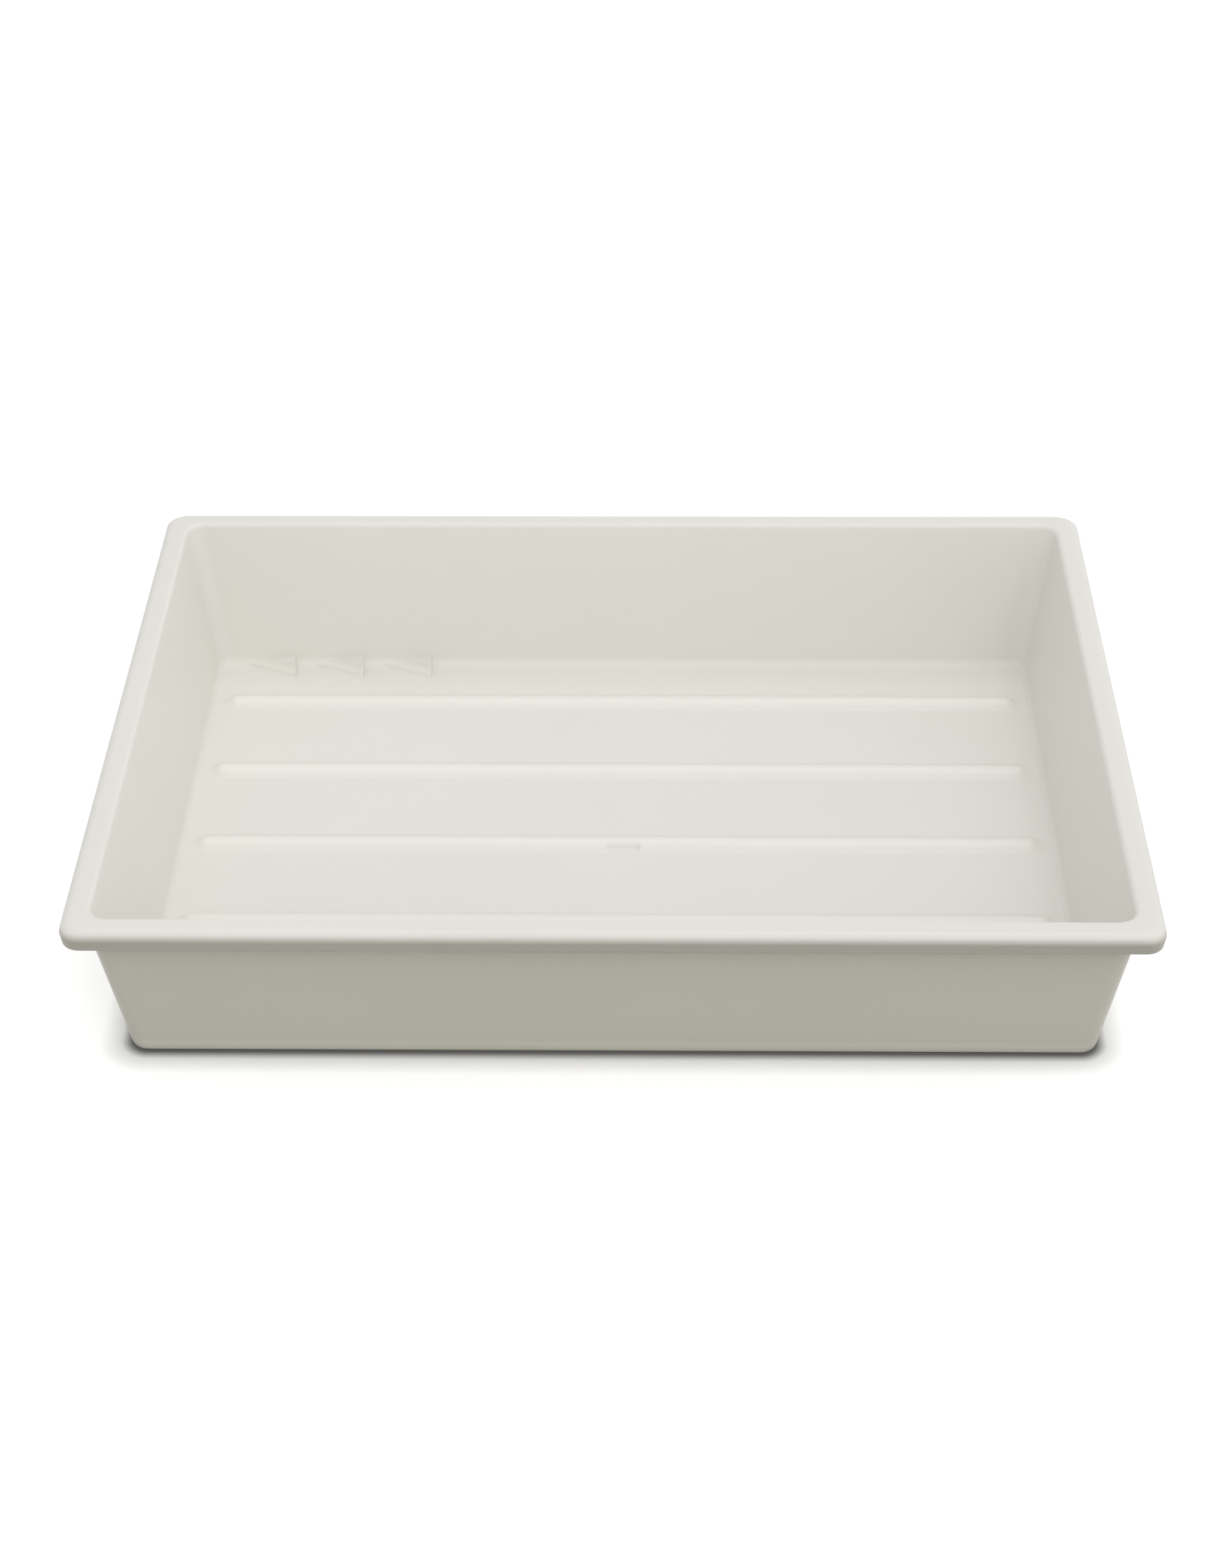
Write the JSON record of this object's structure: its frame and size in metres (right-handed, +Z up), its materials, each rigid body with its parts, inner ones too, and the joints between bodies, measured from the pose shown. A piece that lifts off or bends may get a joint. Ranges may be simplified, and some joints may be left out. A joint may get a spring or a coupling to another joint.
{
  "type": "deep ribbed tray",
  "caption": "Deep rectangular plastic tray for paint or other liquids, with walls that lean outwards, raised floor ribs, small rear lugs and a flat rim with a turned-down skirt.",
  "frame": {"origin": "middle of the underside, on the surface that the tray stands on", "axes": "+X along the tray's length, +Y towards the wall that the lugs stand against, +Z up out of the open top"},
  "size_m": [0.475, 0.366, 0.082],
  "materials": {
    "tray_plastic": "off-white, soft gloss, moulded"
  },
  "bodies": {
    "root": {"floor": "tray_plastic", "front_wall": "tray_plastic", "rear_wall": "tray_plastic", "left_wall": "tray_plastic", "right_wall": "tray_plastic", "front_left_wall_corner": "tray_plastic", "front_right_wall_corner": "tray_plastic", "rear_left_wall_corner": "tray_plastic", "rear_right_wall_corner": "tray_plastic", "front_rim": "tray_plastic", "rear_rim": "tray_plastic", "left_rim": "tray_plastic", "right_rim": "tray_plastic", "front_left_rim_corner": "tray_plastic", "front_right_rim_corner": "tray_plastic", "rear_left_rim_corner": "tray_plastic", "rear_right_rim_corner": "tray_plastic", "front_skirt": "tray_plastic", "rear_skirt": "tray_plastic", "left_skirt": "tray_plastic", "right_skirt": "tray_plastic", "front_left_skirt_corner": "tray_plastic", "front_right_skirt_corner": "tray_plastic", "rear_left_skirt_corner": "tray_plastic", "rear_right_skirt_corner": "tray_plastic", "floor_rib_1": "tray_plastic", "floor_rib_2": "tray_plastic", "floor_rib_3": "tray_plastic", "floor_rib_4": "tray_plastic", "floor_rib_5": "tray_plastic", "rear_lug_1": "tray_plastic", "rear_lug_2": "tray_plastic", "rear_lug_3": "tray_plastic"}
  },
  "joints": []
}
